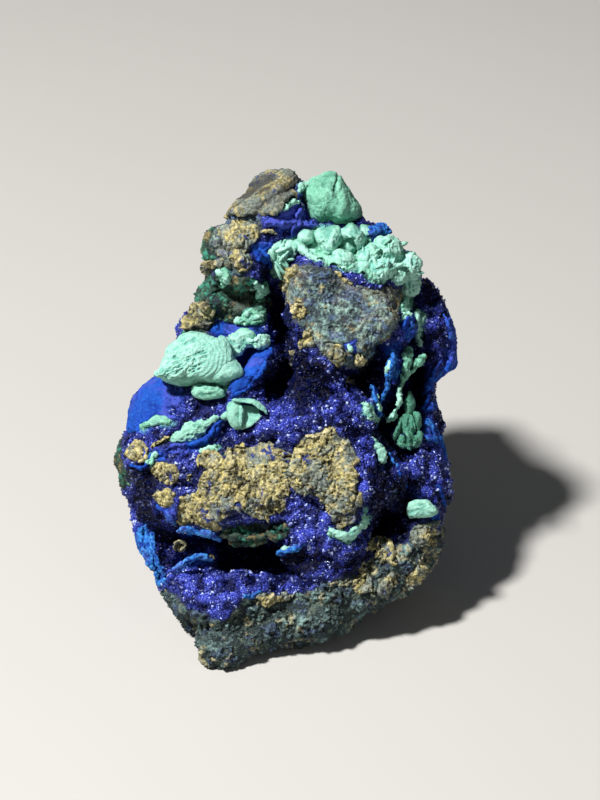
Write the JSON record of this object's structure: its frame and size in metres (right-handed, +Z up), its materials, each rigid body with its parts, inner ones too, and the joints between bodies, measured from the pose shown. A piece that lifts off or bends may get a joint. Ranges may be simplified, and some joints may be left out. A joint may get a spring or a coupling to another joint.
{
  "type": "azurite specimen",
  "caption": "Free-standing mineral specimen: a lump of deep blue azurite on ochre matrix, with leafy green malachite grown on its face and crown.",
  "frame": {"origin": "on the flat base that the lump stands on, below the middle of the show face", "axes": "+Z up, normal to the base. -Y is the side that the show face looks towards, and +X is to the right of someone who looks at it"},
  "size_m": [0.0399, 0.0436, 0.0489],
  "materials": {
    "azurite": "sparkling druse and velvety crust in deep blue, with ochre and grey-green matrix",
    "malachite": "matt, finely ribbed mint green"
  },
  "bodies": {
    "root": {"azurite": "azurite", "malachite_crown": "malachite", "malachite_crust": "malachite", "malachite_knob": "malachite", "malachite_rosette": "malachite", "malachite_shell": "malachite", "malachite_strip": "malachite"}
  },
  "joints": []
}
